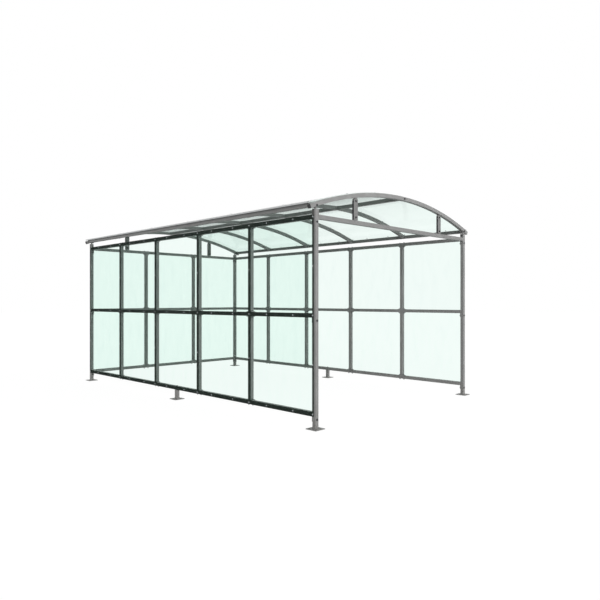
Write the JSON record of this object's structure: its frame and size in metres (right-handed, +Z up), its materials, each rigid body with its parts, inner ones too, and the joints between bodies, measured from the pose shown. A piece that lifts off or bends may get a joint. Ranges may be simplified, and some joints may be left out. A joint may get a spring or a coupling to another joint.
{
  "type": "shopping cart shelter",
  "caption": "Open-fronted trolley shelter: bolted square-tube steel frame on base plates, clear wall sheets outside it and a clear barrel-arched roof.",
  "frame": {"origin": "on the ground, in the middle of the footprint", "axes": "+X to the right seen from the open end, +Y towards the closed back wall, +Z up; the trolley entry faces -Y"},
  "size_m": [3.2042, 5.14, 2.5583],
  "materials": {
    "frame_steel": "grey powder coat over galvanised steel, satin",
    "glazing_tape": "matt black closed-cell rubber tape",
    "wall_sheet": "clear solid sheet with a faint green tint, gloss",
    "roof_sheet": "clear solid sheet with a faint green tint, gloss"
  },
  "bodies": {
    "root": {"post_front_left": "frame_steel", "post_front_right": "frame_steel", "post_back_left": "frame_steel", "post_back_right": "frame_steel", "side_leg_left": "frame_steel", "side_leg_right": "frame_steel", "left_bottom_rail": "frame_steel", "left_mid_rail": "frame_steel", "left_top_rail": "frame_steel", "right_bottom_rail": "frame_steel", "right_mid_rail": "frame_steel", "right_top_rail": "frame_steel", "back_bottom_rail": "frame_steel", "back_mid_rail": "frame_steel", "back_top_rail": "frame_steel", "front_tie_beam": "frame_steel", "left_lower_mullions": "frame_steel", "left_upper_mullions": "frame_steel", "right_lower_mullions": "frame_steel", "right_upper_mullions": "frame_steel", "back_lower_mullions": "frame_steel", "back_upper_mullions": "frame_steel", "front_arch": "frame_steel", "back_arch": "frame_steel", "roof_rib_1": "frame_steel", "roof_rib_2": "frame_steel", "roof_rib_3": "frame_steel", "roof_rib_4": "frame_steel", "eaves_beam_left": "frame_steel", "eaves_beam_right": "frame_steel", "ridge_purlin": "frame_steel", "front_struts": "frame_steel", "back_struts": "frame_steel", "left_glazing_tape": "glazing_tape", "right_glazing_tape": "glazing_tape", "back_glazing_tape": "glazing_tape", "left_wall_sheets": "wall_sheet", "right_wall_sheets": "wall_sheet", "back_wall_sheets": "wall_sheet", "roof_sheet_1": "roof_sheet", "roof_sheet_2": "roof_sheet", "roof_sheet_3": "roof_sheet", "roof_sheet_4": "roof_sheet", "roof_sheet_5": "roof_sheet"}
  },
  "joints": []
}
